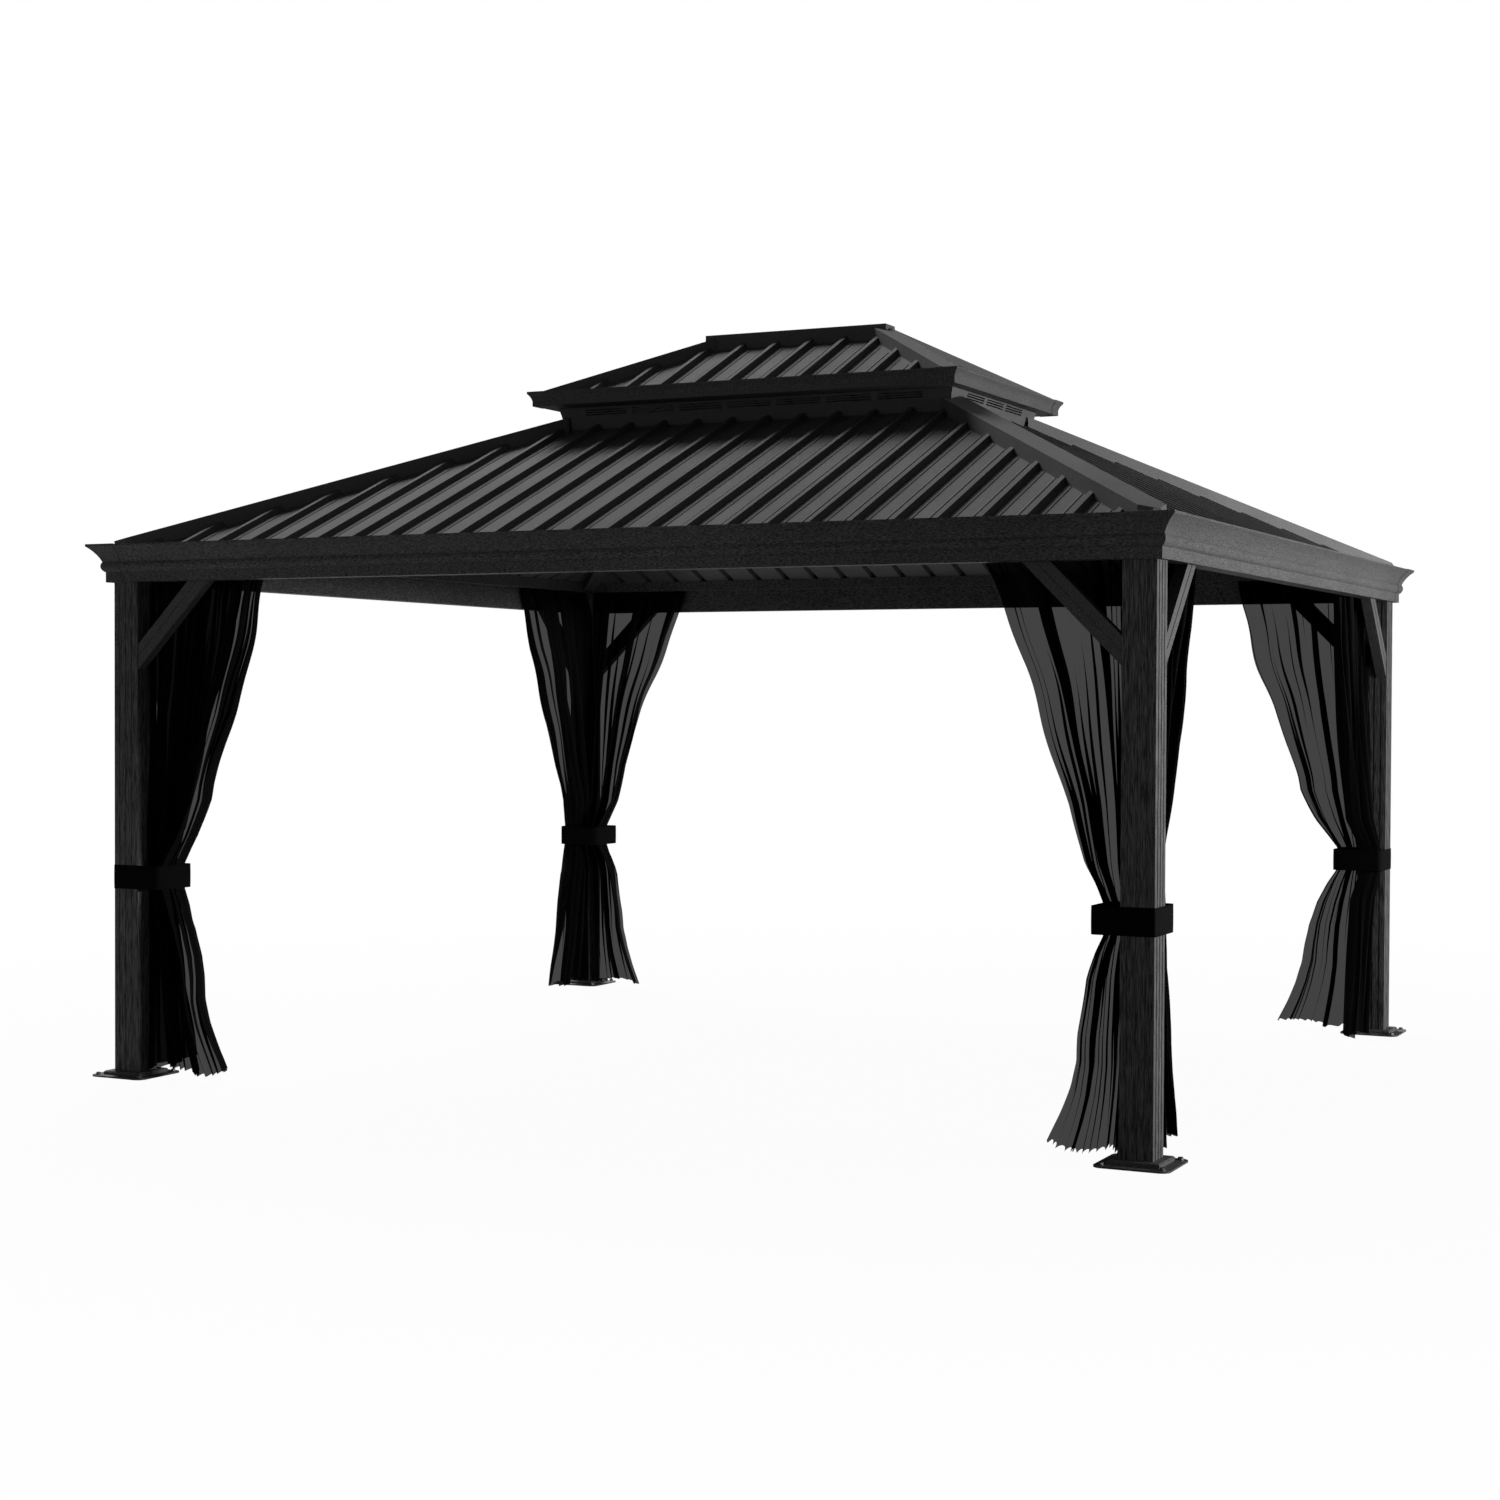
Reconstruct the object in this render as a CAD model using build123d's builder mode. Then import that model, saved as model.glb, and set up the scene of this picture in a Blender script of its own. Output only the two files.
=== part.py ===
"""Hardtop garden gazebo with a two-tier ribbed hip roof, braced posts and tied-back netting."""
from build123d import *
from collections import namedtuple
import math
import os

# Frame, in millimetres: the origin is on the floor at the middle, X runs along the longer side
frame_length = 4140
frame_width = 3592
headroom = 1906
seat_gap = 0.3

# Posts, foot plates and knee braces
post_size = 112
flute_width = 9
flute_depth = 2
flute_pitch = 30
flutes_per_face = 3
plate_size = 250
plate_thickness = 6
plate_corner = 32
collar_size = 172
collar_height = 14
anchor_pitch = 200
anchor_hole = 12
brace_reach = 335
brace_depth = 67
brace_thickness = 42
brace_setback = 3
groove_width = 6
groove_depth = 2

# Eave beams: a crown moulding outside, a box between the posts and a ledge that carries the roof
fascia_height = 142
fascia_reach = 76
web_thickness = 21
web_height = 38
ovolo_reach = 30
ovolo_height = 76
lip_height = 6
lip_width = 10
gutter_wall = 6
beam_box = 48
ledge_reach = 100
ledge_drop = 38
ledge_lip = 6
cap_arm = 54
cap_skin = 1.5

# Roof sheets with raised ribs
pitch_long = 22.3
pitch_short = 24.63
sheet = 2
rib_height = 20
rib_base = 36
rib_top = 20
rib_pitch = 154
eave_overlap = 8
hip_clearance = 1

# Hip rafters, hip caps and the collar frame round the opening of the lower roof
rafter_width = 60
rafter_depth = 44
hip_cap_width = 104
hip_cap_rise = 48
collar_bar = 46

# Vent walls between the two tiers
vent_length = 1686
vent_width = 900
vent_rise = 55
vent_cover = 82
vent_lean = 25
vent_wall_thickness = 5
vent_foot = 22
vent_foot_skin = 2
slot_height = 5
slot_rows = 3
slot_pitch = 9
slot_length = 190
slot_bridge = 26

# Upper tier
tier_length = 1810
tier_width = 1156
tier_ring = 6
tier_ring_lap = 20
tier_seat_rise = 8
tier_seat_width = 30
tier_fascia_height = 56
tier_fascia_foot = 15
tier_fascia_reach = 32
tier_pitch_long = 25.1
tier_pitch_short = 26.54
tier_cap_arm = 60
tier_hip_cap_width = 77
tier_hip_cap_rise = 42
ridge_gap = 1
ridge_cap_width = 96
ridge_cap_lap = 46
ridge_cap_rise = 44

# Netting and tie straps
net_top_width = 590
net_mid_width = 386
net_tied_width = 92
net_hem_width = 300
net_top_out = 52
net_top_depth = 36
net_tied_out = 6
net_tied_depth = 102
net_corner_gap = 6
net_hem_out = 14
net_hem_depth = 90
net_mid_drop = 346
net_hem_height = 25
strap_middle = 770
strap_height = 92
strap_thickness = 4
strap_reach = 98
strap_tuck = 8


def slope(pitch):
    """Rise per unit of run of a roof pitch in degrees."""
    return math.tan(math.radians(pitch))


# Places worked out from the sizes above
half_x = frame_length / 2
half_y = frame_width / 2
eave_top = headroom + fascia_height
ledge_base = eave_top - ledge_drop
roof_seat = ledge_base + ledge_lip
tier_half_x = tier_length / 2
tier_half_y = tier_width / 2

# The lower roof climbs until the vent walls cover its opening on all four sides
climb_long = (half_y - vent_width / 2) * slope(pitch_long)
climb_short = (half_x - vent_length / 2) * slope(pitch_short)
lower_rise = max(climb_long + vent_cover * slope(pitch_long), climb_short + vent_cover * slope(pitch_short))
rib_crown = (rib_height + sheet) / math.cos(math.radians(pitch_short))
tier_base = roof_seat + max(climb_long, climb_short) + rib_crown + vent_rise
tier_seat = tier_base + tier_ring + tier_seat_rise
tier_rise = (tier_half_y - ridge_gap) * slope(tier_pitch_long)

Roof = namedtuple("Roof", "half_x half_y seat pitch_long pitch_short rise")
lower_roof = Roof(half_x, half_y, roof_seat, pitch_long, pitch_short, lower_rise)
upper_roof = Roof(tier_half_x, tier_half_y, tier_seat, tier_pitch_long, tier_pitch_short, tier_rise)

CORNERS = {
    "front_right": (1, -1),
    "rear_right": (1, 1),
    "rear_left": (-1, 1),
    "front_left": (-1, -1),
}

# Each side: the direction along it, then the direction that points inwards
SIDES = {
    "front": (Vector(1, 0, 0), Vector(0, 1, 0)),
    "right": (Vector(0, 1, 0), Vector(-1, 0, 0)),
    "rear": (Vector(-1, 0, 0), Vector(0, -1, 0)),
    "left": (Vector(0, -1, 0), Vector(1, 0, 0)),
}
LONG_SIDES = ("front", "rear")
SHORT_SIDES = ("right", "left")


def save(part, name):
    """Labels a finished piece and writes its STEP file."""
    part.label = name
    export_step(part, f"parts/{name}.step")


def side_sizes(side, across_x, across_y):
    """Distance from the middle to the side, then half the length along the side."""
    if side in LONG_SIDES:
        return across_y, across_x
    return across_x, across_y


def side_pitches(side, roof):
    """Pitch of the side's own slope, then the pitch of the slopes beside it."""
    if side in LONG_SIDES:
        return roof.pitch_long, roof.pitch_short
    return roof.pitch_short, roof.pitch_long


def section_plane(side, reach):
    """Plane across a side at its middle: local x points outwards, local y points up."""
    along, inward = SIDES[side]
    return Plane(origin=inward * -reach, x_dir=inward * -1, z_dir=along * -1)


def roof_block(roof, lift):
    """Solid volume under a roof's sheets, raised by the lift."""
    inset_x = roof.rise / slope(roof.pitch_short)
    inset_y = roof.rise / slope(roof.pitch_long)
    with BuildPart() as block:
        with BuildSketch(Plane.XY.offset(roof.seat + lift)):
            Rectangle(2 * roof.half_x, 2 * roof.half_y)
        with BuildSketch(Plane.XY.offset(roof.seat + roof.rise + lift)):
            Rectangle(2 * (roof.half_x - inset_x), 2 * (roof.half_y - inset_y))
        loft(ruled=True)
    return block.part


def sheet_lift(roof):
    """Height of the sheets' flat tops above their undersides, with the seat gap."""
    return sheet / math.cos(math.radians(roof.pitch_short)) + seat_gap


def make_post(sx, sy):
    """Square fluted post, from its foot plate up to the ledge of the beams."""
    centre = (sx * (half_x - post_size / 2), sy * (half_y - post_size / 2))
    with BuildPart() as post:
        with BuildSketch():
            with Locations(centre):
                Rectangle(post_size, post_size)
                with PolarLocations(post_size / 2, 4):
                    with GridLocations(1, flute_pitch, 1, flutes_per_face):
                        Rectangle(2 * flute_depth, flute_width, mode=Mode.SUBTRACT)
        extrude(amount=ledge_base - seat_gap)
    return post.part


def make_foot_plate(sx, sy):
    """Anchor plate with a low bevelled collar round the post."""
    centre = (sx * (half_x - post_size / 2), sy * (half_y - post_size / 2))
    hole = post_size + 2 * seat_gap
    with BuildPart() as plate:
        with BuildSketch():
            with Locations(centre):
                RectangleRounded(plate_size, plate_size, plate_corner)
                with GridLocations(anchor_pitch, anchor_pitch, 2, 2):
                    Circle(anchor_hole / 2, mode=Mode.SUBTRACT)
        extrude(amount=plate_thickness)
        with BuildSketch(Plane.XY.offset(plate_thickness)):
            with Locations(centre):
                Rectangle(collar_size, collar_size)
        extrude(amount=collar_height)
        chamfer(plate.edges().group_by(Axis.Z)[-1], length=collar_height / 3)
        with BuildSketch():
            with Locations(centre):
                Rectangle(hole, hole)
        extrude(amount=plate_thickness + collar_height, mode=Mode.SUBTRACT)
    return plate.part


def brace_outline():
    """Outline of a knee brace: x runs from the post along the beam and y runs down from it."""
    run = brace_reach - brace_depth * math.sqrt(2)
    with BuildSketch() as outline:
        Polygon((0, -brace_reach), (brace_reach, 0), (run, 0), (0, -run), align=None)
    return outline.sketch


def brace_groove():
    """Groove along the middle of a knee brace's outer face."""
    middle = brace_reach - brace_depth * math.sqrt(2) / 2
    with BuildSketch() as groove:
        with Locations(Location((middle / 2, -middle / 2), 45)):
            Rectangle(2 * brace_reach, groove_width)
    return groove.sketch


def make_braces(sx, sy):
    """The two knee braces of one post, at 45 degrees under the two beams that it carries."""
    face_x = half_x - post_size - seat_gap
    face_y = half_y - post_size - seat_gap
    under_beam = headroom - seat_gap
    planes = (
        Plane((sx * face_x, sy * (half_y - brace_setback), under_beam), (-sx, 0, 0), (0, sx, 0)),
        Plane((sx * (half_x - brace_setback), sy * face_y, under_beam), (0, -sy, 0), (-sy, 0, 0)),
    )
    inward = (Vector(0, -sy, 0), Vector(-sx, 0, 0))
    with BuildPart() as braces:
        for plane, depth in zip(planes, inward):
            with BuildSketch(plane):
                add(brace_outline())
            extrude(amount=brace_thickness, dir=depth)
            with BuildSketch(plane):
                add(brace_groove())
            extrude(amount=groove_depth, dir=depth, mode=Mode.SUBTRACT)
    return braces.part


def beam_front():
    """Visible line of the eave moulding, from the foot of the web to the top of the lip."""
    with BuildLine() as line:
        web = Polyline(
            (0, headroom),
            (web_thickness, headroom),
            (web_thickness, headroom + web_height),
        )
        ovolo = TangentArc(web @ 1, (ovolo_reach, headroom + ovolo_height), tangent=(0.9, 0.4))
        cove = RadiusArc(ovolo @ 1, (fascia_reach, eave_top - lip_height), fascia_height)
        Polyline(cove @ 1, (fascia_reach, eave_top), (fascia_reach - lip_width, eave_top))
    return line.line


def tier_front():
    """Visible line of the upper tier's moulding, from its foot to the top of its lip."""
    top = tier_base + tier_fascia_height
    with BuildLine() as line:
        foot = Polyline(
            (0, tier_base),
            (tier_fascia_foot, tier_base),
            (tier_fascia_foot, tier_base + tier_fascia_height / 3),
        )
        cove = RadiusArc(foot @ 1, (tier_fascia_reach, top - lip_height), tier_fascia_height)
        Polyline(cove @ 1, (tier_fascia_reach, top), (tier_fascia_reach - lip_width, top))
    return line.line


def mitre(side, reach, half, end):
    """The 45 degree plane through one end of a strip that runs along a side."""
    along, inward = SIDES[side]
    corner = inward * -reach + along * (end * half)
    return Plane(origin=corner, z_dir=along * end + inward)


def roof_ledge(roof, side, reach, half, inner, outer, bottom):
    """Ledge along a side, its top cut to the slope of the roof that lies on it."""
    width = inner - outer
    with BuildPart() as ledge:
        with BuildSketch(section_plane(side, reach)):
            with Locations((-(inner + outer) / 2, roof.seat)):
                Rectangle(width, 2 * width)
        extrude(amount=half, both=True)
        add(roof_block(roof, -seat_gap), mode=Mode.INTERSECT)
        with BuildSketch(section_plane(side, reach)):
            with Locations((-(inner + outer) / 2, (bottom + roof.seat - seat_gap) / 2)):
                Rectangle(width, roof.seat - seat_gap - bottom)
        extrude(amount=half, both=True)
    return ledge.part


def make_beam(side):
    """Mitred eave beam: moulding and gutter, ledge under the roof, and a box between posts."""
    reach, half = side_sizes(side, half_x, half_y)
    gutter = ledge_base - lip_width
    with BuildPart() as beam:
        with BuildSketch(section_plane(side, reach)):
            with BuildLine():
                add(beam_front())
                Polyline(
                    (fascia_reach - lip_width, eave_top),
                    (ovolo_reach - gutter_wall, gutter),
                    (gutter_wall, gutter),
                    (0, roof_seat - seat_gap),
                    (0, headroom),
                )
            make_face()
        extrude(amount=half + fascia_reach, both=True)
        add(roof_ledge(lower_roof, side, reach, half, ledge_reach, 0, ledge_base))
        for end in (1, -1):
            split(bisect_by=mitre(side, reach, half, end), keep=Keep.BOTTOM)
        with BuildSketch(section_plane(side, reach)):
            with Locations((-beam_box / 2, (headroom + ledge_base) / 2)):
                Rectangle(beam_box, ledge_base - headroom)
        extrude(amount=half - post_size - seat_gap, both=True)
    return beam.part


def wrap_section(front_line):
    """Thin skin just outside a moulding's visible line."""
    with BuildSketch() as skin:
        with BuildLine():
            add(front_line)
            offset(amount=seat_gap, side=Side.RIGHT, closed=False, mode=Mode.REPLACE)
            offset(amount=cap_skin, side=Side.RIGHT, mode=Mode.REPLACE)
        make_face()
    return skin.sketch


def corner_arm(front_line, side, end, across_x, across_y, arm):
    """One arm of a folded corner cover, cut on the mitre."""
    along, _ = SIDES[side]
    reach, half = side_sizes(side, across_x, across_y)
    start = section_plane(side, reach)
    start.origin += along * (end * (half - arm))
    with BuildPart() as cover:
        with BuildSketch(start):
            add(wrap_section(front_line))
        extrude(amount=2 * arm + fascia_reach, dir=along * end)
        split(bisect_by=mitre(side, reach, half, end), keep=Keep.BOTTOM)
    return cover.part


def make_corner_caps(front_line, across_x, across_y, arm):
    """Folded covers over the four mitred corners of a moulding."""
    with BuildPart() as caps:
        for side in SIDES:
            for end in (1, -1):
                add(corner_arm(front_line, side, end, across_x, across_y, arm))
    return caps.part


def rib_profile(growth):
    """Section of one solid rib standing on the underside of its sheet."""
    side_angle = math.degrees(math.atan2(rib_height, (rib_base - rib_top) / 2))
    with BuildSketch() as rib:
        Trapezoid(
            rib_base + 2 * growth,
            rib_height + sheet + growth,
            side_angle,
            align=(Align.CENTER, Align.MIN),
        )
    return rib.sketch


def rib_spots(half):
    """Places of the ribs across a slope: all that stand clear of its two ends."""
    pairs = int((half - rib_base / 2 + rib_pitch / 2) / rib_pitch)
    return GridLocations(rib_pitch, 1, 2 * pairs, 1)


def sheet_section(half):
    """Section across a roof sheet: a flat pan with hollow ribs at the rib pitch."""
    with BuildSketch() as section:
        with Locations((0, sheet / 2)):
            Rectangle(2 * (half + 2 * eave_overlap), sheet)
        with rib_spots(half):
            add(rib_profile(0))
        with rib_spots(half):
            with Locations((0, -sheet)):
                add(rib_profile(-sheet / 2), mode=Mode.SUBTRACT)
    return section.sketch


def rib_section(half):
    """Section across the ribs of a slope, each grown by the seat gap."""
    with BuildSketch() as section:
        with rib_spots(half):
            add(rib_profile(seat_gap))
    return section.sketch


def run_up_slope(roof, side, section, clearance):
    """Carries a section up one roof slope from its lower edge and cuts it along the two hips."""
    along, inward = SIDES[side]
    reach, half = side_sizes(side, roof.half_x, roof.half_y)
    own, beside = side_pitches(side, roof)
    rise = Vector(0, 0, math.sin(math.radians(own)))
    uphill = inward * math.cos(math.radians(own)) + rise
    foot = inward * -reach + Vector(0, 0, roof.seat) - uphill * eave_overlap
    hip_turn = slope(beside) / slope(own)
    with BuildPart() as run:
        with BuildSketch(Plane(origin=foot, x_dir=along * -1, z_dir=uphill)):
            add(section)
        extrude(amount=roof.rise / rise.Z + eave_overlap)
        for end in (1, -1):
            outwards = along * (end * hip_turn) + inward
            corner = inward * -reach + along * (end * half)
            corner -= outwards.normalized() * clearance
            split(bisect_by=Plane(origin=corner, z_dir=outwards), keep=Keep.BOTTOM)
    return run.part


def make_slope(roof, side):
    """Ribbed sheet of one roof slope."""
    _, half = side_sizes(side, roof.half_x, roof.half_y)
    return run_up_slope(roof, side, sheet_section(half), hip_clearance / 2)


def roof_skin(roof):
    """All that lies under the top of a roof's sheets and inside its ribs, for seating what lies on it."""
    with BuildPart() as skin:
        add(roof_block(roof, sheet_lift(roof)))
        for side in SIDES:
            _, half = side_sizes(side, roof.half_x, roof.half_y)
            add(run_up_slope(roof, side, rib_section(half), 0))
    return skin.part


def hip_line(roof, sx, sy):
    """Foot of a hip line on the sheets' underside, and its direction up the roof."""
    foot = Vector(sx * roof.half_x, sy * roof.half_y, roof.seat)
    turn = slope(roof.pitch_short) / slope(roof.pitch_long)
    return foot, Vector(-sx, -sy * turn, slope(roof.pitch_short)).normalized()


def hip_bar(roof, sx, sy, width, rise, depth):
    """Straight bar along a hip line, from the rise above the sheets' underside down by its depth."""
    foot, uphill = hip_line(roof, sx, sy)
    level = Vector(-uphill.Y, uphill.X, 0)
    upright = uphill.cross(level)
    length = roof.rise / uphill.Z
    with BuildPart() as bar:
        with BuildSketch(Plane(origin=foot + Vector(0, 0, rise), x_dir=level, z_dir=uphill)):
            with Locations((0, -math.copysign(depth / 2, upright.Z))):
                Rectangle(width, depth)
        extrude(amount=length)
    return bar.part


def make_hip_caps(roof, skin, width, rise, stop_x, stop_y):
    """Four flat-topped caps over the hips, notched over the ribs, up to the stop rectangle."""
    edge_x = roof.half_x + eave_overlap
    edge_y = roof.half_y + eave_overlap
    with BuildPart() as caps:
        for sx, sy in CORNERS.values():
            add(hip_bar(roof, sx, sy, width, rise, 2 * rise))
        add(skin, mode=Mode.SUBTRACT)
        with BuildSketch(Plane.XY.offset(roof.seat + sheet_lift(roof))):
            Rectangle(2 * edge_x, 2 * edge_y)
            Rectangle(2 * stop_x, 2 * stop_y, mode=Mode.SUBTRACT)
        extrude(amount=2 * roof.rise, mode=Mode.INTERSECT)
    return caps.part


def under_roof(roof, depth):
    """Layer of the given depth just under a roof's sheets."""
    with BuildPart() as layer:
        add(roof_block(roof, -seat_gap))
        add(roof_block(roof, -seat_gap - depth), mode=Mode.SUBTRACT)
    return layer.part


def collar_halves():
    """Half sizes of the collar frame's opening, which is the lower roof's opening."""
    return (
        half_x - lower_rise / slope(pitch_short),
        half_y - lower_rise / slope(pitch_long),
    )


def make_collar():
    """Frame under the sheets round the opening at the top of the lower roof."""
    open_x, open_y = collar_halves()
    with BuildPart() as collar:
        with BuildSketch(Plane.XY.offset(roof_seat)):
            Rectangle(2 * (open_x + collar_bar), 2 * (open_y + collar_bar))
            Rectangle(2 * open_x, 2 * open_y, mode=Mode.SUBTRACT)
        extrude(amount=lower_rise)
        add(under_roof(lower_roof, rafter_depth), mode=Mode.INTERSECT)
    return collar.part


def make_rafters():
    """Four hip rafters, from the ledge of the eave beams up to the collar frame."""
    open_x, open_y = collar_halves()
    inner_x = open_x + collar_bar + seat_gap
    inner_y = open_y + collar_bar + seat_gap
    outer_x = half_x - ledge_reach - seat_gap
    outer_y = half_y - ledge_reach - seat_gap
    with BuildPart() as rafters:
        for sx, sy in CORNERS.values():
            add(hip_bar(lower_roof, sx, sy, rafter_width, rafter_depth, 4 * rafter_depth))
        add(under_roof(lower_roof, rafter_depth), mode=Mode.INTERSECT)
        with BuildSketch(Plane.XY.offset(ledge_base)):
            Rectangle(2 * outer_x, 2 * outer_y)
            Rectangle(2 * inner_x, 2 * inner_y, mode=Mode.SUBTRACT)
        extrude(amount=lower_rise, mode=Mode.INTERSECT)
    return rafters.part


def vent_wall(side):
    """One leaning wall with a foot strip and rows of slots, mitred at both ends."""
    along, inward = SIDES[side]
    reach, half = side_sizes(side, vent_length / 2, vent_width / 2)
    eave, _ = side_sizes(side, half_x, half_y)
    own, _ = side_pitches(side, lower_roof)
    foot = roof_seat + (eave - reach) * slope(own)
    strip = foot + rib_crown + vent_foot
    top = tier_base - seat_gap
    lean = vent_lean / (top - foot)
    columns = int(2 * (half - slot_bridge) / (slot_length + slot_bridge))
    with BuildPart() as wall:
        with BuildSketch(section_plane(side, reach)):
            with BuildLine():
                Polyline(
                    (-vent_wall_thickness, foot - vent_foot),
                    (vent_foot_skin, foot - vent_foot),
                    (vent_foot_skin, foot),
                    (vent_foot_skin + (strip - foot) * lean, strip),
                    ((strip - foot) * lean, strip),
                    (vent_lean, top),
                    (vent_lean - vent_wall_thickness, top),
                    (-vent_wall_thickness, foot),
                    close=True,
                )
            make_face()
        extrude(amount=half + vent_lean, both=True)
        for end in (1, -1):
            split(bisect_by=mitre(side, reach, half - seat_gap, end), keep=Keep.BOTTOM)
        face = inward * -reach + Vector(0, 0, (strip + top) / 2)
        with BuildSketch(Plane(origin=face, x_dir=along, z_dir=inward * -1)):
            with GridLocations(slot_length + slot_bridge, slot_pitch, columns, slot_rows):
                SlotOverall(slot_length, slot_height)
        extrude(amount=2 * vent_lean, both=True, mode=Mode.SUBTRACT)
    return wall.part


def make_vent_walls(sides, skin):
    """Louvred walls of the vent on two opposite sides, notched over the ribs that they stand on."""
    with BuildPart() as walls:
        for side in sides:
            add(vent_wall(side))
        add(skin, mode=Mode.SUBTRACT)
    return walls.part


def make_tier_ring():
    """Soffit ring that closes the upper tier's eaves and carries its roof on a rail."""
    with BuildPart() as ring:
        with BuildSketch(Plane.XY.offset(tier_base)):
            Rectangle(tier_length, tier_width)
            Rectangle(
                vent_length + 2 * (vent_lean - tier_ring_lap),
                vent_width + 2 * (vent_lean - tier_ring_lap),
                mode=Mode.SUBTRACT,
            )
        extrude(amount=tier_ring)
        for side in SIDES:
            reach, half = side_sizes(side, tier_half_x, tier_half_y)
            add(roof_ledge(upper_roof, side, reach, half, tier_seat_width, 0, tier_base))
    return ring.part


def make_tier_fascia(sides):
    """Mitred mouldings of the upper tier on two opposite sides."""
    with BuildPart() as fascia:
        for side in sides:
            add(tier_fascia_part(side))
    return fascia.part


def tier_fascia_part(side):
    """One moulding of the upper tier, hung on the edge of the soffit ring."""
    reach, half = side_sizes(side, tier_half_x + seat_gap, tier_half_y + seat_gap)
    gutter = tier_base + tier_ring
    with BuildPart() as strip:
        with BuildSketch(section_plane(side, reach)):
            with BuildLine():
                add(tier_front())
                Polyline(
                    (tier_fascia_reach - lip_width, tier_base + tier_fascia_height),
                    (tier_fascia_foot - gutter_wall / 2, gutter),
                    (0, gutter),
                    (0, tier_base),
                )
            make_face()
        extrude(amount=half + tier_fascia_reach, both=True)
        for end in (1, -1):
            cut = mitre(side, reach, half - seat_gap, end)
            split(bisect_by=cut, keep=Keep.BOTTOM)
    return strip.part


def ridge_half():
    """Half the length of the upper roof's ridge line."""
    return tier_half_x - tier_half_y * slope(tier_pitch_long) / slope(tier_pitch_short)


def make_ridge_cap(skin):
    """Flat-topped cap over the ridge, notched over the ribs and reaching past both of its ends."""
    ridge_height = tier_seat + tier_half_y * slope(tier_pitch_long)
    with BuildPart() as cap:
        with BuildSketch(Plane.XY.offset(ridge_height + ridge_cap_rise)):
            Rectangle(2 * (ridge_half() + ridge_cap_lap), ridge_cap_width)
        extrude(amount=-2 * ridge_cap_rise)
        add(skin, mode=Mode.SUBTRACT)
    return cap.part


def net_box(low_along, high_along, low_out, high_out, sx, sy, turned):
    """Rectangle in plan, given by distances from the post's side face and from its outer face."""
    across = (low_along + high_along) / 2 + post_size
    inside = (low_out + high_out) / 2
    sizes = (high_along - low_along, high_out - low_out)
    if turned:
        sizes = sizes[::-1]
        across, inside = inside, across
    with Locations((sx * (half_x - across), sy * (half_y - inside))):
        Rectangle(*sizes)


def net_wing(sx, sy, turned):
    """One gathered wing of netting, from the ledge through the tie strap down to the hem."""
    depth = net_tied_depth if turned else post_size + strap_reach - net_corner_gap - net_tied_out
    tied_out = (net_tied_out, net_tied_out + depth)
    top_out = (net_top_out, net_top_out + net_top_depth)
    levels = (
        (net_hem_height, net_hem_width, (net_hem_out, net_hem_out + net_hem_depth)),
        (strap_middle - strap_height / 2 - strap_tuck, net_tied_width, tied_out),
        (strap_middle + strap_height / 2 + strap_tuck, net_tied_width, tied_out),
        (headroom - net_mid_drop, net_mid_width, top_out),
        (ledge_base - seat_gap, net_top_width, top_out),
    )
    with BuildPart() as wing:
        for height, width, (near, far) in levels:
            with BuildSketch(Plane.XY.offset(height)):
                net_box(seat_gap, width, near, far, sx, sy, turned)
        loft(ruled=True)
    return wing.part


def make_nets(sx, sy):
    """The two wings of netting tied back to one post."""
    with BuildPart() as nets:
        for turned in (False, True):
            add(net_wing(sx, sy, turned))
    return nets.part


def make_strap(sx, sy):
    """Tie strap pulled round the post and both wings of netting."""
    across = post_size + strap_reach
    centre = (sx * (half_x - across / 2), sy * (half_y - across / 2))
    inside = across + 2 * seat_gap
    with BuildPart() as strap:
        with BuildSketch(Plane.XY.offset(strap_middle)):
            with Locations(centre):
                Rectangle(inside + 2 * strap_thickness, inside + 2 * strap_thickness)
                Rectangle(inside, inside, mode=Mode.SUBTRACT)
        extrude(amount=strap_height / 2, both=True)
    return strap.part


os.makedirs("parts", exist_ok=True)

for corner, (sign_x, sign_y) in CORNERS.items():
    save(make_post(sign_x, sign_y), f"post_{corner}")
    save(make_foot_plate(sign_x, sign_y), f"foot_plate_{corner}")
    save(make_braces(sign_x, sign_y), f"knee_braces_{corner}")
    save(make_nets(sign_x, sign_y), f"netting_{corner}")
    save(make_strap(sign_x, sign_y), f"tie_strap_{corner}")

for side_name in SIDES:
    save(make_beam(side_name), f"eave_beam_{side_name}")
    save(make_slope(lower_roof, side_name), f"lower_roof_{side_name}")
    save(make_slope(upper_roof, side_name), f"upper_roof_{side_name}")

lower_skin = roof_skin(lower_roof)
upper_skin = roof_skin(upper_roof)
vent_clear = vent_lean + seat_gap
vent_stop = (vent_length / 2 + vent_clear, vent_width / 2 + vent_clear)
ridge_stop = (ridge_half() + ridge_cap_lap + seat_gap, ridge_cap_width / 2 + seat_gap)
tier_outline = (tier_half_x + seat_gap, tier_half_y + seat_gap)

save(make_corner_caps(beam_front(), half_x, half_y, cap_arm), "eave_corner_caps")
save(make_hip_caps(lower_roof, lower_skin, hip_cap_width, hip_cap_rise, *vent_stop), "lower_hip_caps")
save(make_collar(), "roof_collar_frame")
save(make_rafters(), "hip_rafters")
save(make_vent_walls(LONG_SIDES, lower_skin), "vent_walls_long")
save(make_vent_walls(SHORT_SIDES, lower_skin), "vent_walls_short")
save(make_tier_ring(), "upper_soffit_ring")
save(make_tier_fascia(LONG_SIDES), "upper_fascia_long")
save(make_tier_fascia(SHORT_SIDES), "upper_fascia_short")
save(make_corner_caps(tier_front(), *tier_outline, tier_cap_arm), "upper_corner_caps")
save(
    make_hip_caps(upper_roof, upper_skin, tier_hip_cap_width, tier_hip_cap_rise, *ridge_stop),
    "upper_hip_caps",
)
save(make_ridge_cap(upper_skin), "ridge_cap")
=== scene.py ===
import math

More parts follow.
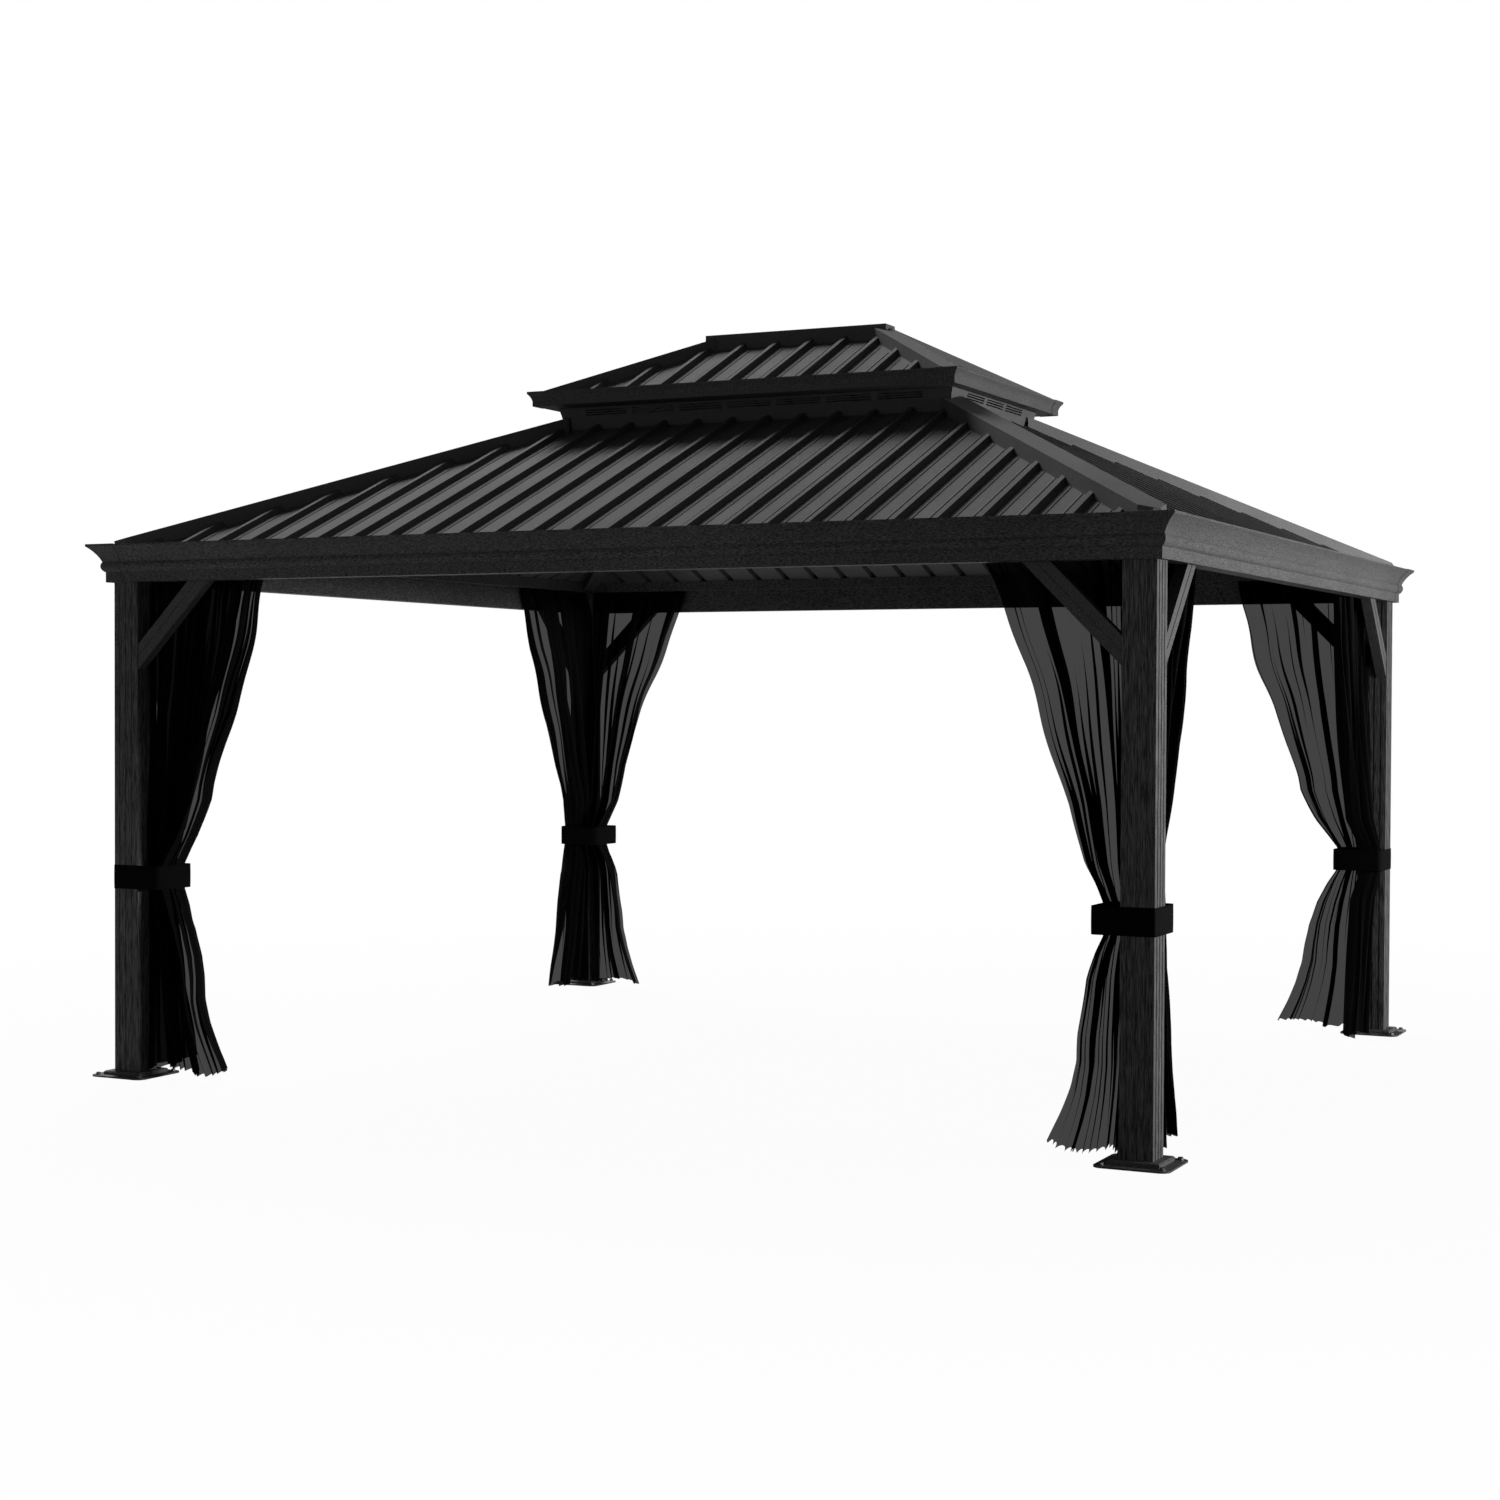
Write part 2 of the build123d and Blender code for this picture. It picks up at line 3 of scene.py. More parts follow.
import bpy
import numpy as np
from mathutils import Euler, Matrix, Vector


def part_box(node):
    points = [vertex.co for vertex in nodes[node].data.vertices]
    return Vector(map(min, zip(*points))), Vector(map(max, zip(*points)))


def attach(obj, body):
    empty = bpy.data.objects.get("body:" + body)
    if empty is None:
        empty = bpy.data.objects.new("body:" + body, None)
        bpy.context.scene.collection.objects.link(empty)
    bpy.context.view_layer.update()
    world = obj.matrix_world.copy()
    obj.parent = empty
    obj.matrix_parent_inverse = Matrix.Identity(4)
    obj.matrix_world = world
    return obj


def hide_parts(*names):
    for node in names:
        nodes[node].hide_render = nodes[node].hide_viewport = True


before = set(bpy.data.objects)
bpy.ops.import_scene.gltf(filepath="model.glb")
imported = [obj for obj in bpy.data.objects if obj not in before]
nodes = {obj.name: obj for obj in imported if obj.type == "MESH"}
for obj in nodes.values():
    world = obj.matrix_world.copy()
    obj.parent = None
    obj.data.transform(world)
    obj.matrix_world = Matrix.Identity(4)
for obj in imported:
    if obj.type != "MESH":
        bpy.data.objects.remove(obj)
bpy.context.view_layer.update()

# Camera: stands off the front right corner at eye height, as in the photograph.
# Its place, turn and lens come from the straight edges of the gazebo.
eye = bpy.data.cameras.new("eye")
eye.sensor_width = 36.0
eye.lens = 58.618
eye.clip_end = 200.0
eye_place = (4.2818, -9.1838, 1.4560)
looks_down, turned_left, leans = 0.0199, 0.4556, 0.0039
eye_object = bpy.data.objects.new("eye", eye)
eye_turn = Euler((math.pi / 2 - looks_down, 0.0, turned_left)).to_matrix() @ Matrix.Rotation(leans, 3, "Z")
eye_object.matrix_world = Matrix.Translation(eye_place) @ eye_turn.to_4x4()
bpy.context.scene.collection.objects.link(eye_object)
bpy.context.scene.camera = eye_object
bpy.context.scene.view_settings.view_transform = "Standard"

# Studio: a white floor that keeps a faint shadow, and a white room.
# A broad soft box hangs high behind the left end and lights the roof. A long low one on the right lights
# the faces that look that way, and a weak one fills the front. Only the right one shows as a sheen.
def graph(owner):
    """Empties a node tree and returns its nodes, its links and its output node."""
    owner.use_nodes = True
    tree = owner.node_tree
    tree.nodes.clear()
    kind = "ShaderNodeOutputWorld" if isinstance(owner, bpy.types.World) else "ShaderNodeOutputMaterial"
    return tree.nodes, tree.links, tree.nodes.new(kind)


def seen_directly(made):
    """Output that is one for what the camera sees itself and nought for every other ray."""
    return made.new("ShaderNodeLightPath").outputs["Is Camera Ray"]


room = bpy.data.worlds.new("white_room")
bpy.context.scene.world = room
made, links, room_out = graph(room)
room_light = made.new("ShaderNodeBackground")
room_light.inputs["Color"].default_value = (1, 1, 1, 1)
room_light.inputs["Strength"].default_value = 0.055
room_seen = made.new("ShaderNodeBackground")
room_seen.inputs["Color"].default_value = (1, 1, 1, 1)
room_seen.inputs["Strength"].default_value = 1.0
room_mix = made.new("ShaderNodeMixShader")
links.new(seen_directly(made), room_mix.inputs[0])
links.new(room_light.outputs[0], room_mix.inputs[1])
links.new(room_seen.outputs[0], room_mix.inputs[2])
links.new(room_mix.outputs[0], room_out.inputs["Surface"])

floor_reach, floor_level = 60.0, -0.003
floor_turns = ((-1, -1), (1, -1), (1, 1), (-1, 1))
floor_points = [(a * floor_reach, b * floor_reach, floor_level) for a, b in floor_turns]
floor_mesh = bpy.data.meshes.new("floor")
floor_mesh.from_pydata(floor_points, [], [(0, 1, 2, 3)])
floor = bpy.data.objects.new("floor", floor_mesh)
bpy.context.scene.collection.objects.link(floor)
paper = bpy.data.materials.new("white_paper")
made, links, paper_out = graph(paper)
paper_matt = made.new("ShaderNodeBsdfDiffuse")
paper_matt.inputs["Color"].default_value = (0.14, 0.14, 0.14, 1)
paper_glow = made.new("ShaderNodeEmission")
paper_glow.inputs["Strength"].default_value = 1.0
paper_place = made.new("ShaderNodeTexCoord").outputs["Object"]
paper_reach = made.new("ShaderNodeVectorMath")
paper_reach.operation = "LENGTH"
links.new(paper_place, paper_reach.inputs[0])
paper_level = made.new("ShaderNodeMapRange")
paper_level.interpolation_type = "SMOOTHSTEP"
paper_level.inputs["From Min"].default_value = 2.0
paper_level.inputs["From Max"].default_value = 8.0
paper_level.inputs["To Min"].default_value = 0.97
paper_level.inputs["To Max"].default_value = 1.0
links.new(paper_reach.outputs["Value"], paper_level.inputs["Value"])
paper_share = made.new("ShaderNodeMath")
paper_share.operation = "MULTIPLY"
links.new(paper_level.outputs["Result"], paper_share.inputs[1])
paper_mix = made.new("ShaderNodeMixShader")
links.new(seen_directly(made), paper_share.inputs[0])
links.new(paper_share.outputs[0], paper_mix.inputs[0])
links.new(paper_matt.outputs[0], paper_mix.inputs[1])
links.new(paper_glow.outputs[0], paper_mix.inputs[2])
links.new(paper_mix.outputs[0], paper_out.inputs["Surface"])
floor_mesh.materials.append(paper)

for name, place, aim, size, power in (
    ("soft_box_behind", (-6.5, 5.0, 10.5), (0.0, 0.0, 2.4), (4.5, 4.5), 6200.0),
    ("soft_box_right", (9.5, 1.3, 1.95), (0.0, 1.3, 1.75), (5.8, 0.5), 1080.0),
    ("soft_box_front", (-2.0, -11.0, 2.6), (0.0, 0.0, 1.2), (8.0, 4.0), 82.0),
):
    lamp = bpy.data.lights.new(name, "AREA")
    lamp.shape = "RECTANGLE"
    lamp.size, lamp.size_y = size
    lamp.energy = power
    lamp_object = bpy.data.objects.new(name, lamp)
    lamp_object.location = place
    lamp_object.rotation_euler = (Vector(aim) - Vector(place)).to_track_quat("-Z", "Y").to_euler()
    lamp_object.visible_glossy = name == "soft_box_right"
    bpy.context.scene.collection.objects.link(lamp_object)

# Frame: posts, beams, braces, plates and mouldings of extruded aluminium.
# All of it has one matt textured powder coat, near black. Along the posts and the beams its grain is
# drawn out into fine lines.
corners = {"front_right": (1, -1), "rear_right": (1, 1), "rear_left": (-1, 1), "front_left": (-1, -1)}


def powder_coat(name, stretch):
    """Textured powder coat: a fine grain mottles the colour, a broad cloud varies it a little, and the
    same grain raises the surface by a fraction of a millimetre. A small factor of the stretch draws the
    grain out along that axis, as the die lines of an extrusion do."""
    dark, light = (0.014, 0.014, 0.0145), (0.142, 0.142, 0.143)
    grain, roughness, peel = 300.0, 0.52, 0.3
    coat = bpy.data.materials.new(name)
    made, links, out = graph(coat)
    place = made.new("ShaderNodeTexCoord").outputs["Object"]
    fine = made.new("ShaderNodeTexNoise")
    fine.inputs["Scale"].default_value = grain
    fine.inputs["Detail"].default_value = 3.0
    fine.inputs["Roughness"].default_value = 0.7
    drawn = made.new("ShaderNodeVectorMath")
    drawn.operation = "MULTIPLY"
    drawn.inputs[1].default_value = stretch
    links.new(place, drawn.inputs[0])
    links.new(drawn.outputs["Vector"], fine.inputs["Vector"])
    cloud = made.new("ShaderNodeTexNoise")
    cloud.inputs["Scale"].default_value = 1.7
    cloud.inputs["Detail"].default_value = 4.0
    links.new(place, cloud.inputs["Vector"])
    tint = made.new("ShaderNodeValToRGB")
    tint.color_ramp.elements[0].position = 0.36
    tint.color_ramp.elements[0].color = (*dark, 1)
    tint.color_ramp.elements[1].position = 0.66
    tint.color_ramp.elements[1].color = (*light, 1)
    links.new(fine.outputs["Fac"], tint.inputs["Fac"])
    shade = made.new("ShaderNodeMapRange")
    shade.inputs["From Min"].default_value = 0.3
    shade.inputs["From Max"].default_value = 0.7
    shade.inputs["To Min"].default_value = 0.86
    shade.inputs["To Max"].default_value = 1.12
    links.new(cloud.outputs["Fac"], shade.inputs["Value"])
    toned = made.new("ShaderNodeVectorMath")
    toned.operation = "SCALE"
    links.new(tint.outputs["Color"], toned.inputs[0])
    links.new(shade.outputs["Result"], toned.inputs["Scale"])
    worn = made.new("ShaderNodeMapRange")
    worn.inputs["From Min"].default_value = 0.3
    worn.inputs["From Max"].default_value = 0.7
    worn.inputs["To Min"].default_value = roughness - 0.06
    worn.inputs["To Max"].default_value = roughness + 0.06
    links.new(cloud.outputs["Fac"], worn.inputs["Value"])
    bump = made.new("ShaderNodeBump")
    bump.inputs["Strength"].default_value = peel
    bump.inputs["Distance"].default_value = 0.0006
    links.new(fine.outputs["Fac"], bump.inputs["Height"])
    skin = made.new("ShaderNodeBsdfPrincipled")
    skin.inputs["Specular IOR Level"].default_value = 0.18
    links.new(toned.outputs["Vector"], skin.inputs["Base Color"])
    links.new(worn.outputs["Result"], skin.inputs["Roughness"])
    links.new(bump.outputs["Normal"], skin.inputs["Normal"])
    links.new(skin.outputs["BSDF"], out.inputs["Surface"])
    return coat


def coat_nodes(names, coat):
    """Gives CAD nodes a finish of their own."""
    for node_name in names:
        mesh = nodes[node_name].data
        mesh.materials.clear()
        mesh.materials.append(coat)


post_coat = powder_coat("post_powder_coat", (1.0, 1.0, 0.05))
coat_nodes([f"post_{c}" for c in corners], post_coat)
for pair, stretch in (("front", "rear"), (0.3, 1.0, 1.0)), (("left", "right"), (1.0, 0.3, 1.0)):
    coat_nodes([f"eave_beam_{s}" for s in pair], powder_coat(f"beam_powder_coat_{pair[0]}", stretch))
frame_coat = powder_coat("frame_powder_coat", (1.0, 1.0, 1.0))
coat_nodes([f"foot_plate_{c}" for c in corners], frame_coat)
coat_nodes([f"knee_braces_{c}" for c in corners], frame_coat)
coat_nodes(
    ["eave_corner_caps", "roof_collar_frame", "hip_rafters", "upper_soffit_ring",
     "upper_fascia_long", "upper_fascia_short", "upper_corner_caps"],
    frame_coat,
)

# Anchor bolts: zinc hexagon heads with washers, one in each corner of every foot plate.
# The shank goes down the plate's hole, towards the slab or deck.
def turned(profile, steps):
    """Surface of revolution about +Z: every (radius, height) of the profile is carried round the axis,
    as points (radius cos a, radius sin a, height) at equal angles a."""
    profile = np.asarray(profile, float)
    angle = np.linspace(0, 2 * np.pi, steps, endpoint=False)
    ring = np.stack([np.cos(angle), np.sin(angle)], -1)
    level = np.broadcast_to(profile[:, None, 1:], (len(profile), steps, 1))
    points = np.concatenate([profile[:, None, :1] * ring[None], level], -1).reshape(-1, 3)
    row, column = np.meshgrid(np.arange(len(profile) - 1), np.arange(steps), indexing="ij")
    after = (column + 1) % steps
    this, following = row * steps, (row + 1) * steps
    faces = np.stack([this + column, this + after, following + after, following + column], -1)
    return points, faces.reshape(-1, 4)


def repeated(points, faces, places, turns):
    """Copies of one small shape: each copy is turned by its 3 by 3 matrix, then moved to its place."""
    many = np.einsum("nij,pj->npi", turns, points) + places[:, None, :]
    shifted = faces[None] + (np.arange(len(places)) * len(points))[:, None, None]
    return many.reshape(-1, 3), shifted.reshape(-1, faces.shape[1])


def make_piece(name, points, faces, finish, smooth=False):
    """Makes a mesh object from arrays, gives it its finish and lets it ride on the gazebo."""
    mesh = bpy.data.meshes.new(name)
    mesh.from_pydata(points.tolist(), [], faces.tolist())
    mesh.polygons.foreach_set("use_smooth", np.full(len(mesh.polygons), smooth))
    mesh.materials.append(finish)
    mesh.validate()
    mesh.update()
    piece = bpy.data.objects.new(name, mesh)
    bpy.context.scene.collection.objects.link(piece)
    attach(piece, "root")
    return piece


def zinc_finish():
    """Dull zinc plate: cloudy grey metal of one even roughness."""
    zinc = bpy.data.materials.new("anchor_zinc")
    made, links, out = graph(zinc)
    place = made.new("ShaderNodeTexCoord").outputs["Object"]
    cloud = made.new("ShaderNodeTexNoise")
    cloud.inputs["Scale"].default_value = 160.0
    links.new(place, cloud.inputs["Vector"])
    tint = made.new("ShaderNodeValToRGB")
    tint.color_ramp.elements[0].color = (0.10, 0.10, 0.105, 1)
    tint.color_ramp.elements[1].color = (0.22, 0.22, 0.23, 1)
    links.new(cloud.outputs["Fac"], tint.inputs["Fac"])
    metal = made.new("ShaderNodeBsdfPrincipled")
    metal.inputs["Metallic"].default_value = 0.85
    metal.inputs["Roughness"].default_value = 0.48
    links.new(tint.outputs["Color"], metal.inputs["Base Color"])
    links.new(metal.outputs["BSDF"], out.inputs["Surface"])
    return zinc


zinc = zinc_finish()
plate_top, bolt_spread, axis_radius = 0.006, 0.1, 0.0001
washer_radius, washer_top = 0.0108, plate_top + 0.002
head_radius, head_top = 0.0092, plate_top + 0.0092
shank_radius, shank_foot = 0.005, 0.0004
washer_profile = [
    (axis_radius, washer_top),
    (washer_radius - 0.0003, washer_top),
    (washer_radius, washer_top - 0.0004),
    (washer_radius, plate_top),
]
head_profile = [
    (axis_radius, head_top),
    (head_radius - 0.0014, head_top),
    (head_radius, head_top - 0.001),
    (head_radius, washer_top),
]
shank_profile = [(shank_radius, plate_top), (shank_radius, shank_foot), (axis_radius, shank_foot)]
washer_points, washer_faces = turned(washer_profile, 20)
head_points, head_faces = turned(head_profile, 6)
shank_points, shank_faces = turned(shank_profile, 12)
bolt_points = np.concatenate([washer_points, head_points, shank_points])
bolt_faces = np.concatenate(
    [washer_faces, head_faces + len(washer_points), shank_faces + len(washer_points) + len(head_points)]
)[:, ::-1]
for corner, (sx, sy) in corners.items():
    low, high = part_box(f"foot_plate_{corner}")
    middle = np.array([(low.x + high.x) / 2, (low.y + high.y) / 2, 0.0])
    holes = [(a, b, 0.0) for a in (-bolt_spread, bolt_spread) for b in (-bolt_spread, bolt_spread)]
    turns = np.array([Matrix.Rotation(0.4 * k + sx, 3, "Z") for k in range(4)])
    points, faces = repeated(bolt_points, bolt_faces, middle + np.array(holes), turns)
    make_piece(f"anchor_bolts_{corner}", points, faces, zinc)

# Roof sheets: galvanised steel with raised ribs, coated satin black.
# The coat has a finer grain than the frame's, with broad faint clouds.
# Each side has a direction along its eaves and one that points in, towards the ridge.
sides = {
    "front": ((1, 0), (0, 1)),
    "right": ((0, 1), (-1, 0)),
    "rear": ((-1, 0), (0, -1)),
    "left": ((0, -1), (1, 0)),
}


def sheet_coat(name, dark, light, roughness):
    """Satin coil coat: a very fine grain mottles the colour, and a broad cloud varies the colour, the
    roughness and the height of the surface a little."""
    coat = bpy.data.materials.new(name)
    made, links, out = graph(coat)
    place = made.new("ShaderNodeTexCoord").outputs["Object"]
    fine = made.new("ShaderNodeTexNoise")
    fine.inputs["Scale"].default_value = 300.0
    fine.inputs["Detail"].default_value = 2.0
    links.new(place, fine.inputs["Vector"])
    tint = made.new("ShaderNodeValToRGB")
    tint.color_ramp.elements[0].position = 0.35
    tint.color_ramp.elements[0].color = (*dark, 1)
    tint.color_ramp.elements[1].position = 0.68
    tint.color_ramp.elements[1].color = (*light, 1)
    links.new(fine.outputs["Fac"], tint.inputs["Fac"])
    cloud = made.new("ShaderNodeTexNoise")
    cloud.inputs["Scale"].default_value = 2.3
    cloud.inputs["Detail"].default_value = 5.0
    links.new(place, cloud.inputs["Vector"])
    worn = made.new("ShaderNodeMapRange")
    worn.inputs["From Min"].default_value = 0.3
    worn.inputs["From Max"].default_value = 0.7
    worn.inputs["To Min"].default_value = roughness - 0.08
    worn.inputs["To Max"].default_value = roughness + 0.08
    links.new(cloud.outputs["Fac"], worn.inputs["Value"])
    shade = made.new("ShaderNodeMapRange")
    shade.inputs["From Min"].default_value = 0.3
    shade.inputs["From Max"].default_value = 0.7
    shade.inputs["To Min"].default_value = 0.9
    shade.inputs["To Max"].default_value = 1.1
    links.new(cloud.outputs["Fac"], shade.inputs["Value"])
    toned = made.new("ShaderNodeVectorMath")
    toned.operation = "SCALE"
    links.new(tint.outputs["Color"], toned.inputs[0])
    links.new(shade.outputs["Result"], toned.inputs["Scale"])
    bump = made.new("ShaderNodeBump")
    bump.inputs["Strength"].default_value = 0.12
    bump.inputs["Distance"].default_value = 0.001
    links.new(cloud.outputs["Fac"], bump.inputs["Height"])
    skin = made.new("ShaderNodeBsdfPrincipled")
    skin.inputs["Specular IOR Level"].default_value = 0.3
    links.new(toned.outputs["Vector"], skin.inputs["Base Color"])
    links.new(worn.outputs["Result"], skin.inputs["Roughness"])
    links.new(bump.outputs["Normal"], skin.inputs["Normal"])
    links.new(skin.outputs["BSDF"], out.inputs["Surface"])
    return coat


roof_coat = sheet_coat("roof_sheet_coat", (0.050, 0.050, 0.051), (0.088, 0.088, 0.089), 0.56)
coat_nodes([f"lower_roof_{s}" for s in sides] + [f"upper_roof_{s}" for s in sides], roof_coat)
coat_nodes(["lower_hip_caps", "upper_hip_caps", "ridge_cap"], roof_coat)

# Swages: two shallow pressed steps along every pan, which stiffen the thin sheet.
# They run from the eaves up to the hip caps or to the wall of the vent.
def swages(half_x, half_y, seat, pitch_long, pitch_short, stop_x, stop_y):
    """Pressed lines of one roof tier, two to a pan, at equal distances from the pan's middle. Each is a
    strip of three faces from the eaves up the slope. It ends short of the hip, where both slopes have
    the same height, or short of the stop, whichever comes first. The pitches are in degrees."""
    rib_pitch, off_middle = 0.154, 0.032
    eave, hip_margin, stop_margin, shortest = -0.006, 0.085, 0.004, 0.05
    sheet_thickness, sunk, proud = 0.002, -0.0004, 0.0024
    all_points, all_faces = [], []
    for along, inward in sides.values():
        along, inward = np.array([*along, 0.0]), np.array([*inward, 0.0])
        on_long = inward[1] != 0
        reach, half = (half_y, half_x) if on_long else (half_x, half_y)
        own, beside = (pitch_long, pitch_short) if on_long else (pitch_short, pitch_long)
        own, beside = math.tan(math.radians(own)), math.tan(math.radians(beside))
        last = reach - (stop_y if on_long else stop_x)
        pans = np.arange(-math.ceil(half / rib_pitch), math.ceil(half / rib_pitch) + 1)
        spots = (pans[:, None] * rib_pitch + np.array([-off_middle, off_middle])).ravel()
        run = np.minimum((half - np.abs(spots)) * beside / own - hip_margin, last - stop_margin)
        spots, run = spots[run > shortest], run[run > shortest]
        across = np.array([-0.0075, -0.0010, 0.0020, 0.0030])
        lift = np.array([sunk, proud, proud, sunk]) + sheet_thickness / math.cos(math.atan(own))
        reach_in = np.stack([np.full_like(run, eave), run], 1)
        points = (
            -inward * reach
            + inward * reach_in[:, :, None, None]
            + along * (spots[:, None] + across)[:, None, :, None]
            + np.array([0.0, 0.0, 1.0]) * (seat + reach_in[:, :, None] * own + lift)[..., None]
        )
        base = (np.arange(len(spots)) * 8)[:, None, None] + np.arange(3)[None, :, None]
        side_faces = (base + np.array([0, 1, 5, 4])).reshape(-1, 4)
        faces = side_faces if np.cross(along, inward)[2] > 0 else side_faces[:, ::-1]
        all_faces.append(faces + sum(len(p) for p in all_points))
        all_points.append(points.reshape(-1, 3))
    return np.concatenate(all_points), np.concatenate(all_faces)


post_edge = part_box("post_rear_right")[1]
half_length, half_width = round(post_edge.x, 4), round(post_edge.y, 4)
ring_low, ring_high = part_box("upper_soffit_ring")
tier_half_length, tier_half_width = round(ring_high.x, 4), round(ring_high.y, 4)
eave_seat, tier_seat = 2.016, ring_low.z + 0.014
lower_pitches, upper_pitches = (22.3, 24.63), (25.1, 26.54)
vent_stops, ridge_stops = (0.874, 0.481), (0.0, 0.052)
points, faces = swages(half_length, half_width, eave_seat, *lower_pitches, *vent_stops)
make_piece("swages_lower", points, faces, roof_coat)
points, faces = swages(tier_half_length, tier_half_width, tier_seat, *upper_pitches, *ridge_stops)
make_piece("swages_upper", points, faces, roof_coat)

# Vent walls: louvred strips between the two tiers, of the same coated sheet.
# Their colour is a shade lighter than the roof's: painted light, standing for the light that their slots
# catch.
vent_coat = sheet_coat("vent_coat", (0.056, 0.056, 0.057), (0.092, 0.092, 0.093), 0.5)
coat_nodes(["vent_walls_long", "vent_walls_short"], vent_coat)

# Netting: fine black mosquito mesh, hung from the ledge in narrow folds and gathered at the strap.
# Each wing is one sheet that would reach the middle of its side when it is drawn shut.
def net_finish():
    """Fine mesh seen from afar: black thread that varies a little in tone and lets a constant small
    share of the light straight through."""
    mesh_cloth = bpy.data.materials.new("mosquito_mesh")
    made, links, out = graph(mesh_cloth)
    place = made.new("ShaderNodeTexCoord").outputs["Object"]
    threads = made.new("ShaderNodeTexNoise")
    threads.inputs["Scale"].default_value = 700.0
    links.new(place, threads.inputs["Vector"])
    tint = made.new("ShaderNodeValToRGB")
    tint.color_ramp.elements[0].color = (0.0015, 0.0015, 0.0015, 1)
    tint.color_ramp.elements[1].color = (0.006, 0.006, 0.006, 1)
    links.new(threads.outputs["Fac"], tint.inputs["Fac"])
    cloth = made.new("ShaderNodeBsdfPrincipled")
    cloth.inputs["Roughness"].default_value = 0.9
    cloth.inputs["Specular IOR Level"].default_value = 0.04
    cloth.inputs["Alpha"].default_value = 0.945
    links.new(tint.outputs["Color"], cloth.inputs["Base Color"])
    links.new(cloth.outputs["BSDF"], out.inputs["Surface"])
    return mesh_cloth


net_cloth = net_finish()
post_size = 0.112
ledge_level, hem_level = 2.0088, 0.03
tie_top, tie_foot = 0.82, 0.72
tie_level = (tie_top + tie_foot) / 2


